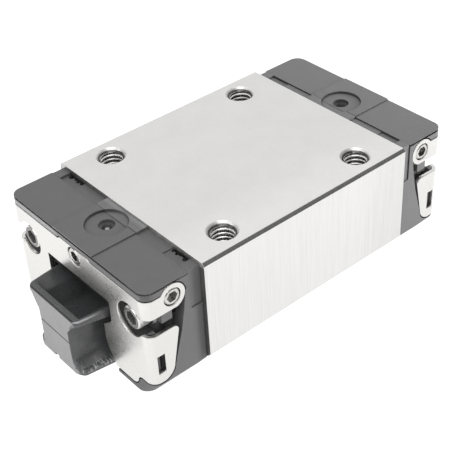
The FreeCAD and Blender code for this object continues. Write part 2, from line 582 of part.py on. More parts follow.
def cap_recess(end):
    """The space in the end cap that the cover plate lies in, a little larger than the plate."""
    body = new_body(end + "Recess")
    gap = 0.17
    sk = new_sketch(body, end + "RecessPlan", "XY_Plane", 0.0)
    ox, oy = "end_x", "side_half"
    ro, th = val("bend_rad"), val("sheet_thick") + 0.04
    ix, iy, ri = val(ox) - th, val(oy) - th, ro - th
    k = 1 - math.sqrt(0.5)
    big = 1.5
    outline(sk, [
        (21.0, "side_half+1.5"), ("end_x+1.5", "side_half+1.5"), ("end_x+1.5", "-side_half-1.5"), (21.0, "-side_half-1.5"),
        (21.0, "-side_half+sheet_thick+0.04"), ("end_x-bend_rad", "-side_half+sheet_thick+0.04"),
        ("end_x-sheet_thick-0.04", "-side_half+bend_rad", ix - k * ri, -(iy - k * ri)),
        ("end_x-sheet_thick-0.04", "side_half-bend_rad"),
        ("end_x-bend_rad", "side_half-sheet_thick-0.04", ix - k * ri, iy - k * ri),
        (21.0, "side_half-sheet_thick-0.04"),
    ])
    pad(body, sk, 19.2, end + "RecessStrip")
    lift = val("plate_top") + gap - val("ear_z")
    r = val("ear_rad") + gap
    e0, e1 = ear_point(gap, 180), ear_point(gap, 90)
    b = (val("ear_x") + math.sqrt(r * r - lift * lift), val("plate_top") + gap)
    m = ear_point(gap, 120)
    sk = new_sketch(body, end + "RecessEar", "XZ_Plane", "-side_half-3")
    outline(sk, [(20.0, "ear_z"), e0, (b[0], b[1], m[0], m[1]), ("end_x-0.8", b[1]), ("end_x-0.8", 20.0), (20.0, 20.0)])
    cut(body, sk, "2*side_half+6", end + "RecessEarCut", flip=CUT_XZ_FLIP)
    sk = new_sketch(body, end + "RecessRear", "XZ_Plane", "-side_half-3")
    outline(sk, [(20.0, "ear_z+0.01"), (22.38, "ear_z+0.01"), (22.87, 13.74), (23.53, 10.43), (24.5, 6.98), (25.02, 5.1),
                 (27.0, "wing_low-0.17", 25.68, 3.55), ("end_x-0.8", "wing_low-0.17"), ("end_x-0.8", -0.5), (20.0, -0.5)])
    cut(body, sk, "2*side_half+6", end + "RecessRearCut", flip=CUT_XZ_FLIP)
    sk = new_sketch(body, end + "RecessTop", "YZ_Plane", "end_x+2")
    outline(sk, both_sides([(0.0, 20.0), ("side_half+2", 20.0), ("side_half+2", b[1]), (4.0, b[1]), (3.4, b[1] + 0.4), (0.0, b[1] + 0.4)]))
    cut(body, sk, "bend_rad+2", end + "RecessTopCut")
    for sgn in (1, -1):
        tag = end + ("L" if sgn > 0 else "R")
        low = [(0.0, -0.5), ("side_half+2", -0.5), ("side_half+2", "wing_low-0.17"), (13.8, "wing_low-0.17"),
               (12.75, 2.1, 13.17, 2.7), (11.35, "plate_low-0.17", 12.25, 1.2), (0.0, "plate_low-0.17")]
        if sgn < 0:
            n = len(low)
            low = [(0.0, -0.5)] + [
                (minus(low[i][0]), low[i][1]) + ((minus(low[(i + 1) % n][2]), low[(i + 1) % n][3]) if len(low[(i + 1) % n]) == 4 else ())
                for i in range(n - 1, 0, -1)]
        sk = new_sketch(body, tag + "RecessLow", "YZ_Plane", "end_x+2")
        outline(sk, low)
        cut(body, sk, "bend_rad+2", tag + "RecessLowCut")
    return body


def end_cap(end, turned):
    body = new_body(end + "CapBlock")
    r = val("corner_rad")
    k = 1 - math.sqrt(0.5)
    ox, oy = val("end_x"), val("side_half")
    def plan(half, rad):
        """Plan of the cap: straight along the steel, round corners at the outer end."""
        mx, my = ox - k * val(rad), val(half) - k * val(rad)
        return [("0.5*steel_len", half), ("end_x-" + rad, half), ("end_x", half + "-" + rad, mx, my),
                ("end_x", "-" + half + "+" + rad), ("end_x-" + rad, "-" + half, mx, -my), ("0.5*steel_len", "-" + half)]
    sk = new_sketch(body, end + "CapPlan", "XY_Plane", "cap_foot_rise")
    outline(sk, plan("side_half", "corner_rad"))
    pad(body, sk, "cap_top-cap_foot_rise", end + "CapSlab")
    # foot drawn in towards the bottom, with rounder corners
    before = body.Shape.Volume
    s0 = new_sketch(body, end + "CapFoot0", "XY_Plane", "cap_foot_rise")
    outline(s0, plan("side_half", "corner_rad"))
    s1 = new_sketch(body, end + "CapFoot1", "XY_Plane", 0.0)
    outline(s1, plan("cap_foot_half", "cap_foot_round"))
    loft = body.newObject("PartDesign::AdditiveLoft", end + "CapFoot")
    loft.Profile = s0
    loft.Sections = [s1]
    loft.Ruled = True
    doc.recompute()
    if not body.Shape.Volume > before + 100.0:
        raise RuntimeError("the cap's foot adds nothing")
    prim(body, "AdditiveBox", end + "CapPad", ("seam_x", "-pad_half", "cap_top-0.5"), ZP,
         Length="end_x-seam_x", Width="2*pad_half", Height="pad_top-cap_top+0.5")
    # room for the return plate next to the steel; side skirts and floor stay below it
    sk = new_sketch(body, end + "CapRoom", "YZ_Plane", "seam_x")
    outline(sk, both_sides([(0.0, 21.0), ("side_half+1", 21.0), ("side_half+1", "skirt_z"), ("skirt_half", "skirt_z"),
                            ("skirt_half", "wing_low-0.1"), ("skirt_half-1.45", 1.5), (0.0, 1.5)]))
    cut(body, sk, "seam_x-0.5*steel_len+1", end + "CapRoomCut")
    # rail opening and the break of the lower outer edge
    sk = new_sketch(body, end + "CapOpening", "YZ_Plane", "end_x+1")
    outline(sk, both_sides(OPENING))
    cut(body, sk, "end_x-0.5*steel_len+2", end + "CapOpeningCut")
    sk = new_sketch(body, end + "CapRimBevel", "XZ_Plane", "-side_half-2")
    outline(sk, [("end_x-rim_bevel-1", -1.0), ("end_x+1", -1.0), ("end_x+1", "rim_bevel+1")])
    cut(body, sk, "2*side_half+4", end + "CapRimBevelCut", flip=CUT_XZ_FLIP)
    # shadow line round the rim, just under the top edge
    sk = new_sketch(body, end + "CapRimLine", "XY_Plane", "cap_top-rim_lip")
    ix, iy, ri = ox - val("rim_line_in"), oy - val("rim_line_in"), r - val("rim_line_in")
    outline(sk, [
        (21.0, "side_half+1"), ("end_x+1", "side_half+1"), ("end_x+1", "-side_half-1"), (21.0, "-side_half-1"),
        (21.0, "-side_half+rim_line_in"), ("end_x-corner_rad", "-side_half+rim_line_in"),
        ("end_x-rim_line_in", "-side_half+corner_rad", ix - k * ri, -(iy - k * ri)),
        ("end_x-rim_line_in", "side_half-corner_rad"),
        ("end_x-corner_rad", "side_half-rim_line_in", ix - k * ri, iy - k * ri),
        (21.0, "side_half-rim_line_in"),
    ])
    cut(body, sk, "rim_line", end + "CapRimLineCut")
    turnaround(body, end + "Cap")
    # seal pocket, screw seats, slot pockets, lube ports, felt pocket
    sk = new_sketch(body, end + "CapSealSeat", "YZ_Plane", "end_x+1")
    outline(sk, both_sides([(0.0, "seal_top+0.05"), ("seal_half-0.95", "seal_top+0.05"), ("seal_half+0.05", "seal_top-0.95"),
                            ("seal_half+0.05", "seal_low-0.05"), (0.0, "seal_low-0.05")]))
    cut(body, sk, "end_x+1-seal_back+0.05", end + "CapSealSeatCut")
    for sgn in (1, -1):
        tag = end + ("L" if sgn > 0 else "R")
        y = "screw_y" if sgn > 0 else "-screw_y"
        prim(body, "SubtractiveCylinder", tag + "CapScrewHole", ("0.5*steel_len-1", y, "screw_z"), XP,
             Radius="screw_hole_rad", Height="screw_seat-0.5*steel_len+2")
        prim(body, "SubtractiveCylinder", tag + "CapScrewSeat", ("screw_seat", y, "screw_z"), XP,
             Radius="seat_pocket_rad", Height=6.0)
        # deep slot behind the wing: open between wing and ear round a land next to the screw, narrow along the wing's rear edge
        sk = new_sketch(body, tag + "CapSlot", "XZ_Plane", "-side_half-2" if sgn > 0 else "slot_floor")
        outline(sk, [(22.33, 16.9), (22.85, 16.9), (22.85, "slot_top-0.2"), (24.4, "slot_top-0.2"), (24.4, 12.7), ("screw_seat", 12.7),
                     ("screw_seat", "slot_top-0.2"), (30.0, "slot_top-0.2"), (30.0, "wing_top+0.1"),
                     (27.4, "wing_top+0.1"), (27.4, 8.9), (25.2, 8.9), (25.9, 5.4), (24.98, 5.4), (24.48, 6.98),
                     (23.48, 10.43), (22.81, 13.74)])
        cut(body, sk, "side_half+2-slot_floor", tag + "CapSlotCut", flip=CUT_XZ_FLIP)
        prim(body, "SubtractiveCylinder", tag + "CapSidePort", ("ear_x", 13.85 if sgn > 0 else -13.85, "ear_z"), YP if sgn > 0 else YM,
             Radius="side_port_hole_rad", Height=4.0)
        prim(body, "SubtractiveBox", tag + "CapCatch", ("catch_x", 14.9 if sgn > 0 else -17.9, "catch_z"), ZP,
             Length="0.4*catch_len", Width=3.0, Height="catch_tall")
        # hollow at the rear end of the slot, down to the screw's shank
        prim(body, "SubtractiveBox", tag + "CapSlotHollow", (22.5, 12.8 if sgn > 0 else -14.4, 12.05), ZP,
             Length=1.9, Width=1.6, Height=2.45)
    prim(body, "SubtractiveCylinder", end + "CapPort", ("end_x-port_len-0.1", 0.0, "port_z"), XP,
         Radius="port_hole_rad", Height=5.0)
    prim(body, "SubtractiveCylinder", end + "CapTopPort", ("top_port_x", 0.0, "top_port_floor"), ZP,
         Radius="top_port_rad", Height=2.0)
    prim(body, "SubtractiveCylinder", end + "CapTopPit", ("top_port_x", 0.0, "top_port_floor-0.45"), ZP,
         Radius=1.22, Height=1.0)
    prim(body, "SubtractiveCone", end + "CapTopPoint", ("top_port_x", 0.0, "top_port_floor-1.5"), ZP,
         Radius1=0.3, Radius2=0.9, Height=1.05)
    prim(body, "SubtractiveBox", end + "CapFeltPocket", ("seam_x-0.1", "-felt_half-0.1", "felt_low-0.1"), ZP,
         Length="felt_len+0.2", Width="2*felt_half+0.2", Height="felt_top-felt_low+0.2")
    recess = cap_recess(end)
    whole = doc.addObject("Part::Cut", end + "Cap")
    whole.Base = body
    whole.Tool = recess
    doc.recompute()
    keep(whole, end + "_end_cap", turned)


def end_seal(end, turned):
    body = new_body(end + "Seal")
    sk = new_sketch(body, end + "SealSection", "YZ_Plane", "seal_back")
    outline(sk, both_sides([
        (0.0, "seal_top"), ("seal_half-1", "seal_top"), ("seal_half", "seal_top-1"), ("seal_half", "seal_low"),
        ("rail_foot+0.3", "seal_low"), ("rail_foot+0.3", 1.2), (6.55, 1.75), ("rail_waist+0.35", 3.3),
        ("rail_waist+0.3", 4.4), ("rail_waist+0.3", 7.7), ("rail_head+0.3", 9.2), ("rail_head+0.3", 11.1),
        ("rail_head-0.1", "arbor_top+0.3"), (0.0, "arbor_top+0.3")]))
    pad(body, sk, "end_x-sheet_thick-0.05-seal_back", end + "SealSlab")
    keep(body, end + "_end_seal", turned)


def felt(end, turned):
    body = new_body(end + "Felt")
    prim(body, "AdditiveBox", end + "FeltBlock", ("seam_x", "-felt_half", "felt_low"), ZP,
         Length="felt_len", Width="2*felt_half", Height="felt_top-felt_low")
    keep(body, end + "_lube_felt", turned)


def cap_screws(end, turned):
    made = []
    for sgn in (1, -1):
        tag = end + ("L" if sgn > 0 else "R")
        y = "screw_y" if sgn > 0 else "-screw_y"
        shank = solid("Part::Cylinder", tag + "Shank", ("0.5*steel_len-screw_depth", y, "screw_z"), XP,
                      Radius="screw_rad", Height="screw_seat-0.5*steel_len+screw_depth+0.1")
        flange = solid("Part::Cone", tag + "Flange", ("screw_seat", y, "screw_z"), XP,
                       Radius1="flange_rad", Radius2="flange_rad-0.25", Height="flange_len")
        head = solid("Part::Cylinder", tag + "Head", ("screw_seat+0.2", y, "screw_z"), XP,
                     Radius="screw_head_rad", Height="screw_head_len-0.4")
        crown = solid("Part::Cone", tag + "Crown", ("screw_seat+screw_head_len-0.2", y, "screw_z"), XP,
                      Radius1="screw_head_rad", Radius2="screw_head_rad-0.2", Height=0.2)
        blank = doc.addObject("Part::MultiFuse", tag + "ScrewBlank")
        blank.Shapes = [shank, flange, head, crown]
        hexagon = solid("Part::Prism", tag + "Socket", ("screw_seat+screw_head_len-1.5", y, "screw_z"), XP,
                        Polygon=6, Circumradius="socket_rad", Height=2.0)
        screw = doc.addObject("Part::Cut", tag + "Screw")
        screw.Base = blank
        screw.Tool = hexagon
        made.append(screw)
    group = doc.addObject("Part::Compound", end + "Screws")
    group.Links = made
    keep(group, end + "_cap_screws", turned)


def set_screw(tag, at, back, axis, rad, length):
    """Set screw whose outer face is at `at`, pointing along axis, with chamfered rim and hex socket."""
    n = Vector(*axis)

    def along(d):
        out = []
        for expr, comp in zip(at, axis):
            if comp == 0:
                out.append(expr)
            else:
                text = expr if isinstance(expr, str) else repr(expr)
                step = d * comp
                out.append("%s%s%s" % (text, "+" if step >= 0 else "-", repr(abs(step))))
        return tuple(out)
    shank = solid("Part::Cylinder", tag + "Shank", along(-val(length)), axis, Radius=rad, Height="%s-0.22" % length)
    rim = solid("Part::Cone", tag + "Rim", along(-0.22), axis, Radius1=rad, Radius2="%s-0.2" % rad, Height=0.22)
    blank = doc.addObject("Part::MultiFuse", tag + "Blank")
    blank.Shapes = [shank, rim]
    hexagon = solid("Part::Prism", tag + "Socket", along(-1.4), axis, Polygon=6, Circumradius="port_socket_rad", Height=2.0)
    screw = doc.addObject("Part::Cut", tag + "SetScrew")
    screw.Base = blank
    screw.Tool = hexagon
    return screw


def port_screws(end, turned):
    front = set_screw(end + "Port", ("end_x-0.05", 0.0, "port_z"), None, XP, "port_rad", "port_len")
    keep(front, end + "_port_screw", turned)
    left = set_screw(end + "PortL", ("ear_x", "side_half-0.05", "ear_z"), None, YP, "side_port_rad", "side_port_len")
    right = set_screw(end + "PortR", ("ear_x", "-side_half+0.05", "ear_z"), None, YM, "side_port_rad", "side_port_len")
    group = doc.addObject("Part::Compound", end + "SidePorts")
    group.Links = [left, right]
    keep(group, end + "_side_port_screws", turned)


# ---------------------------------------------------------------- mounting arbor
def arbor_half(head, lip, foot):
    """+Y half of the arbor's section: head over its lip, slim waist, and a hollow sweep down to the foot."""
    r, low, top = val("arbor_round"), val("arbor_low"), val("arbor_top")
    h, z, f, w = val(head), val(lip), val(foot), val("arbor_waist")
    k = math.sqrt(0.5)
    # hollow sweep: leaves the waist upright at z = 4.2 and reaches the foot's upper edge at z = 1.55
    reach, fall = f - 0.35 - w, 4.2 - 1.55
    rad = (reach * reach + fall * fall) / (2 * reach)
    end = math.atan2(fall, rad - reach)
    sm = (w + rad * (1 - math.cos(end / 2)), 4.2 - rad * math.sin(end / 2))
    return [
        (0.0, "arbor_top"),
        (head + "-arbor_round", "arbor_top"),
        (head, "arbor_top-arbor_round", h - r + k * r, top - r + k * r),
        (head, lip + "+0.15"),
        (head + "-0.25", lip + "-0.1", h - 0.07, z - 0.03),
        ("arbor_waist+0.35", 8.45),
        ("arbor_waist", 7.85, w + 0.09, 8.2),
        ("arbor_waist", 4.2),
        (foot + "-0.35", 1.55, sm[0], sm[1]),
        (foot, 1.2, f - 0.35 * (1 - k), 1.55 - 0.35 * (1 - k)),
        (foot, "arbor_low+0.25"),
        (foot + "-0.25", "arbor_low", f - 0.25 * (1 - k), low + 0.25 * (1 - k)),
        (0.0, "arbor_low"),
    ]


def arbor():
    body = new_body("Arbor")
    full, lead, tip = ("arbor_head", "arbor_lip", "arbor_foot"), ("lead_head", "lead_lip", "lead_foot"), ("tip_head", "tip_lip", "tip_foot")
    sk = new_sketch(body, "ArborSection", "YZ_Plane", "-arbor_half_len+arbor_lead+arbor_taper")
    outline(sk, both_sides(arbor_half(*full)))
    pad(body, sk, "2*arbor_half_len-2*arbor_lead-2*arbor_taper", "ArborBar")
    # each end: a slight taper, then head and foot drawn in on a curve
    def between(t, t_foot):
        return tuple("%s-%r*%s+%r*%s" % (a, w, a, w, b) for a, b, w in zip(lead, tip, (t, t, t_foot)))
    steps = [("Taper", "arbor_half_len-arbor_lead-arbor_taper", "arbor_half_len-arbor_lead", full, lead)]
    curve = ((0.0, 0.0, 0.0), (0.3, 0.07, 0.1), (0.55, 0.27, 0.3), (0.8, 0.61, 0.61), (1.0, 1.0, 1.0))
    for i in range(4):
        (u0, t0, f0), (u1, t1, f1) = curve[i], curve[i + 1]
        steps.append(("Tip%d" % i, "arbor_half_len-arbor_lead+%r*arbor_lead" % u0, "arbor_half_len-arbor_lead+%r*arbor_lead" % u1,
                      between(t0, f0), between(t1, f1)))
    for tag in ("A", "B"):
        for part, near, far, s_near, s_far in steps:
            s0 = new_sketch(body, "Arbor%s0%s" % (part, tag), "YZ_Plane", near if tag == "A" else minus(near))
            outline(s0, both_sides(arbor_half(*s_near)))
            s1 = new_sketch(body, "Arbor%s1%s" % (part, tag), "YZ_Plane", far if tag == "A" else minus(far))
            outline(s1, both_sides(arbor_half(*s_far)))
            loft = body.newObject("PartDesign::AdditiveLoft", "Arbor%s%s" % (part, tag))
            loft.Profile = s0
            loft.Sections = [s1]
            loft.Ruled = True
            doc.recompute()
    # cored trough along the top: slanting upper walls that follow the head's taper, narrow below
    def trough(half):
        return both_sides([(0.0, "arbor_top+1"), (half, "arbor_top+1"), (half, "arbor_top"), ("trough_neck+1.2", 9.7),
                           ("trough_neck", "trough_floor+0.4"), ("trough_neck-0.4", "trough_floor"), (0.0, "trough_floor")])
    bar = "arbor_half_len-arbor_lead-arbor_taper"
    sk = new_sketch(body, "ArborTrough", "YZ_Plane", bar)
    outline(sk, trough("trough_half"))
    cut(body, sk, "2*arbor_half_len-2*arbor_lead-2*arbor_taper", "ArborTroughCut")
    for tag in ("A", "B"):
        before = body.Shape.Volume
        far = "arbor_half_len-trough_wall"
        s0 = new_sketch(body, "ArborTrough0" + tag, "YZ_Plane", bar if tag == "A" else minus(bar))
        outline(s0, trough("trough_half"))
        s1 = new_sketch(body, "ArborTrough1" + tag, "YZ_Plane", far if tag == "A" else minus(far))
        outline(s1, trough("trough_tip"))
        loft = body.newObject("PartDesign::SubtractiveLoft", "ArborTroughEnd" + tag)
        loft.Profile = s0
        loft.Sections = [s1]
        loft.Ruled = True
        doc.recompute()
        if not body.Shape.Volume < before - 1.0:
            raise RuntimeError("the trough's end cuts nothing")
    # the top edge of both end faces is rounded off
    k = math.sqrt(0.5)
    sk = new_sketch(body, "ArborRimRound", "XZ_Plane", "-side_half-2")
    for sgn in ("", "-"):
        x, r = sgn + "arbor_half_len", "rim_round"
        inner = x + ("-" if sgn == "" else "+") + r
        outer = x + ("+0.5" if sgn == "" else "-0.5")
        mid = (val("arbor_half_len") - (1 - k) * val(r)) * (1 if sgn == "" else -1)
        outline(sk, [(x, "arbor_top-" + r), (inner, "arbor_top", mid, val("arbor_top") - (1 - k) * val(r)),
                     (inner, "arbor_top+0.5"), (outer, "arbor_top+0.5"), (outer, "arbor_top-" + r)])
    cut(body, sk, "2*side_half+4", "ArborRimRoundCut", flip=CUT_XZ_FLIP)
    # mould line across both end faces, and the small recess of the gate under the front one
    prim(body, "SubtractiveBox", "MouldLineA", ("arbor_half_len-0.14", -9.0, "mould_line_z-0.07"), ZP, Length=1.0, Width=18.0, Height=0.14)
    prim(body, "SubtractiveBox", "MouldLineB", ("-arbor_half_len-0.86", -9.0, "mould_line_z-0.07"), ZP, Length=1.0, Width=18.0, Height=0.14)
    prim(body, "SubtractiveBox", "GateRecess", ("-arbor_half_len-0.6", 0.25, "arbor_low-0.5"), ZP,
         Length=1.0, Width="gate_width", Height="gate_tall+0.5")
    keep(body, "mounting_arbor")


CUT_XZ_FLIP = True

runner_body()
ball_rows()
retainer("left", 1)
retainer("right", -1)
side_seal("left", 1)
side_seal("right", -1)
for end, turned in (("front", True), ("rear", False)):
    return_plate(end, turned)
    end_cap(end, turned)
    end_seal(end, turned)
    cover_plate(end, turned)
    cap_screws(end, turned)
    port_screws(end, turned)
    felt(end, turned)
arbor()

doc.recompute()
bad = [o.Name for o in doc.Objects if "Invalid" in o.State or "Error" in o.State]
if bad:
    raise RuntimeError("failed objects: %s" % bad)
for node in NODES:
    shape = node.Shape
    if shape.isNull() or not shape.isValid() or not shape.Solids:
        raise RuntimeError("bad shape: %s" % node.Label)
os.makedirs("parts", exist_ok=True)
for node in NODES:
    node.Shape.exportStep("parts/%s.step" % node.Label)
    box = node.Shape.BoundBox
    print("%-24s solids %3d volume %9.2f  x %7.2f %7.2f  y %7.2f %7.2f  z %6.2f %6.2f" % (
        node.Label, len(node.Shape.Solids), node.Shape.Volume,
        box.XMin, box.XMax, box.YMin, box.YMax, box.ZMin, box.ZMax))
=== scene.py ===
import json
import math

import bpy
from mathutils import Matrix, Vector


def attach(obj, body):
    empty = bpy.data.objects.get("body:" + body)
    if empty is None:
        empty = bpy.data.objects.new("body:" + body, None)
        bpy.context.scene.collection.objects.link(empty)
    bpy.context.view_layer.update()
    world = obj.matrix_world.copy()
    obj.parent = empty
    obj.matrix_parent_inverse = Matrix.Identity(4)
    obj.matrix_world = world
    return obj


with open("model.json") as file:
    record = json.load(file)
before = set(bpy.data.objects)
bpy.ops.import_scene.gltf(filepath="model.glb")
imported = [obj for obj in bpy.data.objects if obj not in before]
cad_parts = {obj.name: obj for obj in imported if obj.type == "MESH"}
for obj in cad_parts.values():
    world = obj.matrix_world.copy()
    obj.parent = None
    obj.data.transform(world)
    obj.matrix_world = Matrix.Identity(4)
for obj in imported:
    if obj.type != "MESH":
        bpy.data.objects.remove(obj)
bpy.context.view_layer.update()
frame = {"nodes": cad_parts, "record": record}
nodes = frame["nodes"]
scene = bpy.context.scene
MM = 0.001


# ------------------------------------------------------------------ node helpers
class Finish:
    """A procedural finish: a principled shader whose colour, roughness and bump come from solid noise in the part's frame."""

    def __init__(self, name):
        self.mat = bpy.data.materials.new(name)
        self.mat.use_nodes = True
        self.tree = self.mat.node_tree
        self.shader = next(n for n in self.tree.nodes if n.type == "BSDF_PRINCIPLED")

    def add(self, kind, **props):
        n = self.tree.nodes.new(kind)
        for key, value in props.items():
            setattr(n, key, value)
        return n

    def wire(self, source, target):
        self.tree.links.new(source, target)

    def set(self, **sockets):
        for key, value in sockets.items():
            self.shader.inputs[key.replace("_", " ")].default_value = value

    def place(self, scale):
        tc = self.add("ShaderNodeTexCoord")
        mp = self.add("ShaderNodeMapping")
        mp.inputs["Scale"].default_value = scale
        self.wire(tc.outputs["Object"], mp.inputs["Vector"])
        return mp.outputs["Vector"]

    def noise(self, scale, detail=3.0, rough=0.55, bend=0.0):
        """Fractal noise; scale is features per metre along X, Y and Z."""
        n = self.add("ShaderNodeTexNoise")
        n.inputs["Scale"].default_value = 1.0
        n.inputs["Detail"].default_value = detail
        n.inputs["Roughness"].default_value = rough
        n.inputs["Distortion"].default_value = bend
        self.wire(self.place(scale), n.inputs["Vector"])
        return n.outputs["Fac"]

    def cells(self, scale, smooth=0.4):
        n = self.add("ShaderNodeTexVoronoi", feature="SMOOTH_F1")
        n.inputs["Scale"].default_value = 1.0
        n.inputs["Smoothness"].default_value = smooth
        self.wire(self.place(scale), n.inputs["Vector"])
        return n.outputs["Distance"]

    def facing(self, axis):
        """How far the surface faces along X, Y or Z, either way."""
        g = self.add("ShaderNodeNewGeometry")
        s = self.add("ShaderNodeSeparateXYZ")
        self.wire(g.outputs["Normal"], s.inputs[0])
        return self.math("ABSOLUTE", s.outputs[axis])

    def away(self, axis):
        """Distance from the middle plane along X, Y or Z, either way, in metres."""
        s = self.add("ShaderNodeSeparateXYZ")
        self.wire(self.place((1, 1, 1)), s.inputs[0])
        return self.math("ABSOLUTE", s.outputs[axis])

    def at(self):
        """Place in the part's frame: X, Y and Z in metres."""
        s = self.add("ShaderNodeSeparateXYZ")
        self.wire(self.place((1, 1, 1)), s.inputs[0])
        return s.outputs[0], s.outputs[1], s.outputs[2]

    def times(self, first, *rest):
        for value in rest:
            first = self.math("MULTIPLY", first, value)
        return first

    def rest(self, fac):
        return self.math("SUBTRACT", 1.0, fac)

    def math(self, op, a, b=None):
        n = self.add("ShaderNodeMath", operation=op)
        for socket, value in zip(n.inputs, (a, b)):
            if value is None:
                continue
            if isinstance(value, (int, float)):
                socket.default_value = value
            else:
                self.wire(value, socket)
        return n.outputs[0]

    def span(self, fac, a, b, lo, hi):
        n = self.add("ShaderNodeMapRange", interpolation_type="SMOOTHSTEP")
        self.wire(fac, n.inputs["Value"])
        for key, value in (("From Min", a), ("From Max", b), ("To Min", lo), ("To Max", hi)):
            n.inputs[key].default_value = value
        return n.outputs["Result"]

    def ramp(self, fac, *stops):
        n = self.add("ShaderNodeValToRGB")
        while len(n.color_ramp.elements) < len(stops):
            n.color_ramp.elements.new(0.5)
        for e, (at, rgb) in zip(n.color_ramp.elements, stops):
            e.position = at
            e.color = (*rgb, 1.0)
        self.wire(fac, n.inputs["Fac"])
        return n.outputs["Color"]

    def blend(self, fac, a, b, mode="MIX"):
        n = self.add("ShaderNodeMix", data_type="RGBA", blend_type=mode)
        for socket, value in ((n.inputs[0], fac), (n.inputs[6], a), (n.inputs[7], b)):
            if isinstance(value, (int, float)):
                socket.default_value = value
            elif isinstance(value, tuple):
                socket.default_value = (*value, 1.0)
            else:
                self.wire(value, socket)
        return n.outputs[2]

    def blend_value(self, fac, a, b):
        """From a to the number b as fac goes from nought to one."""
        return self.math("ADD", self.times(self.rest(fac), a), self.math("MULTIPLY", fac, b))

    def crevice(self, reach, low, closed=0.35, clear=0.95):
        """Painted shade: one on open faces, falling to low where the surface is closed in within reach."""
        n = self.add("ShaderNodeAmbientOcclusion", samples=8)
        n.inputs["Distance"].default_value = reach
        return self.span(n.outputs["AO"], closed, clear, low, 1.0)

    def dim(self, colour, fac):
        n = self.add("ShaderNodeVectorMath", operation="SCALE")
        self.wire(colour, n.inputs[0])
        self.wire(fac, n.inputs["Scale"])
        return n.outputs[0]

    def colour(self, out):
        self.wire(out, self.shader.inputs["Base Color"])

    def roughness(self, out):
        self.wire(out, self.shader.inputs["Roughness"])

    def bump(self, height, strength, depth, under=None):
        n = self.add("ShaderNodeBump")
        n.inputs["Strength"].default_value = strength
        n.inputs["Distance"].default_value = depth
        self.wire(height, n.inputs["Height"])
        if under is not None:
            self.wire(under, n.inputs["Normal"])
        return n.outputs["Normal"]

    def normal(self, out):
        self.wire(out, self.shader.inputs["Normal"])


# ------------------------------------------------------------------ finishes
def ground_steel():
    """Ground steel: fine upright grinding streaks on the sides and an even satin top, with painted light: chamfers and
    end faces darker as painted shade, countersinks brighter as a painted highlight.
    """
    f = Finish("ground_steel")
    fine = f.noise((5200, 900, 110), 3.0, 0.6)
    broad = f.noise((900, 300, 45), 2.0, 0.5)
    grain = f.noise((2600, 9000, 2600), 2.0, 0.6)
    cloud = f.noise((240, 240, 240), 2.0, 0.5)
    side = f.facing(1)
    outer = f.span(f.away(1), 0.0162, 0.0164, 0.0, 1.0)
    slant = f.math("MULTIPLY", outer, f.span(f.math("MULTIPLY", side, f.facing(2)), 0.20, 0.46, 0.0, 1.0))
    streak = f.math("ADD", f.math("MULTIPLY", fine, 0.8), f.math("MULTIPLY", broad, 0.2))
    on_side = f.ramp(streak, (0.30, (0.645, 0.641, 0.631)), (0.52, (0.710, 0.705, 0.695)), (0.72, (0.760, 0.755, 0.745)))
    on_top = f.ramp(f.math("ADD", f.math("MULTIPLY", grain, 0.5), f.math("MULTIPLY", cloud, 0.5)),
                    (0.30, (0.655, 0.650, 0.638)), (0.70, (0.700, 0.695, 0.683)))
    # painted shade: the chamfers darker than the top, standing in for the dark they reflect
    on_slant = f.ramp(cloud, (0.30, (0.400, 0.398, 0.394)), (0.70, (0.450, 0.448, 0.442)))
    # painted shade: the end faces dark, standing in for their shade beside the caps; a band along their top in the
    # middle is painted as pale as the top
    crown = f.times(f.span(f.at()[2], 0.0190, 0.0192, 0.0, 1.0), f.span(f.at()[1], 0.0044, 0.0050, 1.0, 0.3))
    on_end = f.blend(crown, f.ramp(cloud, (0.30, (0.300, 0.298, 0.292)), (0.70, (0.380, 0.377, 0.370))),
                     f.ramp(cloud, (0.30, (0.80, 0.795, 0.785)), (0.70, (0.88, 0.875, 0.865))))
    end = f.span(f.facing(0), 0.75, 0.95, 0.0, 1.0)
    up = f.facing(2)
    cone = f.math("MULTIPLY", f.math("SUBTRACT", 1.0, outer), f.math("MULTIPLY", f.span(up, 0.55, 0.66, 0.0, 1.0), f.span(up, 0.76, 0.90, 1.0, 0.0)))
    # painted highlight: the countersinks brighter than the top
    on_cone = f.ramp(grain, (0.30, (0.80, 0.795, 0.785)), (0.70, (0.90, 0.895, 0.885)))
    x, y, z = f.at()
    # painted light: the top a little lighter towards the front edge, the sides a little darker towards the rear
    on_top = f.dim(on_top, f.span(y, -0.0160, -0.0060, 1.08, 1.0))
    on_side = f.dim(on_side, f.span(x, 0.0080, 0.0180, 1.0, 0.94))
    flat = f.blend(end, f.blend(slant, f.blend(side, on_top, on_side), on_slant), on_end)
    f.colour(f.blend(cone, flat, on_cone))
    mixed = f.math("ADD", f.span(streak, 0.3, 0.7, 0.32, 0.44), f.math("MULTIPLY", cone, 0.02))
    f.roughness(f.math("SUBTRACT", mixed, f.math("MULTIPLY", slant, 0.12)))
    low = f.bump(grain, 0.10, 0.00002)
    plain = f.math("SUBTRACT", 1.0, slant)
    f.normal(f.bump(f.math("MULTIPLY", streak, plain), 0.16, 0.00003, low))
    f.set(Metallic=1.0)
    return f.mat


def thread_steel(name, dark, light):
    """Cut thread with fine turning marks."""
    f = Finish(name)
    marks = f.noise((2500, 2500, 14000), 2.0, 0.6)
    f.colour(f.ramp(marks, (0.3, dark), (0.7, light)))
    f.roughness(f.span(marks, 0.3, 0.7, 0.22, 0.34))
    f.normal(f.bump(marks, 0.05, 0.00001))
    f.set(Metallic=1.0)
    return f.mat


def ball_steel():
    f = Finish("ball_steel")
    haze = f.noise((2600, 2600, 2600), 3.0, 0.6)
    f.colour(f.ramp(haze, (0.3, (0.70, 0.70, 0.71)), (0.7, (0.80, 0.80, 0.81))))
    f.roughness(f.span(haze, 0.3, 0.75, 0.05, 0.14))
    f.set(Metallic=1.0)
    return f.mat


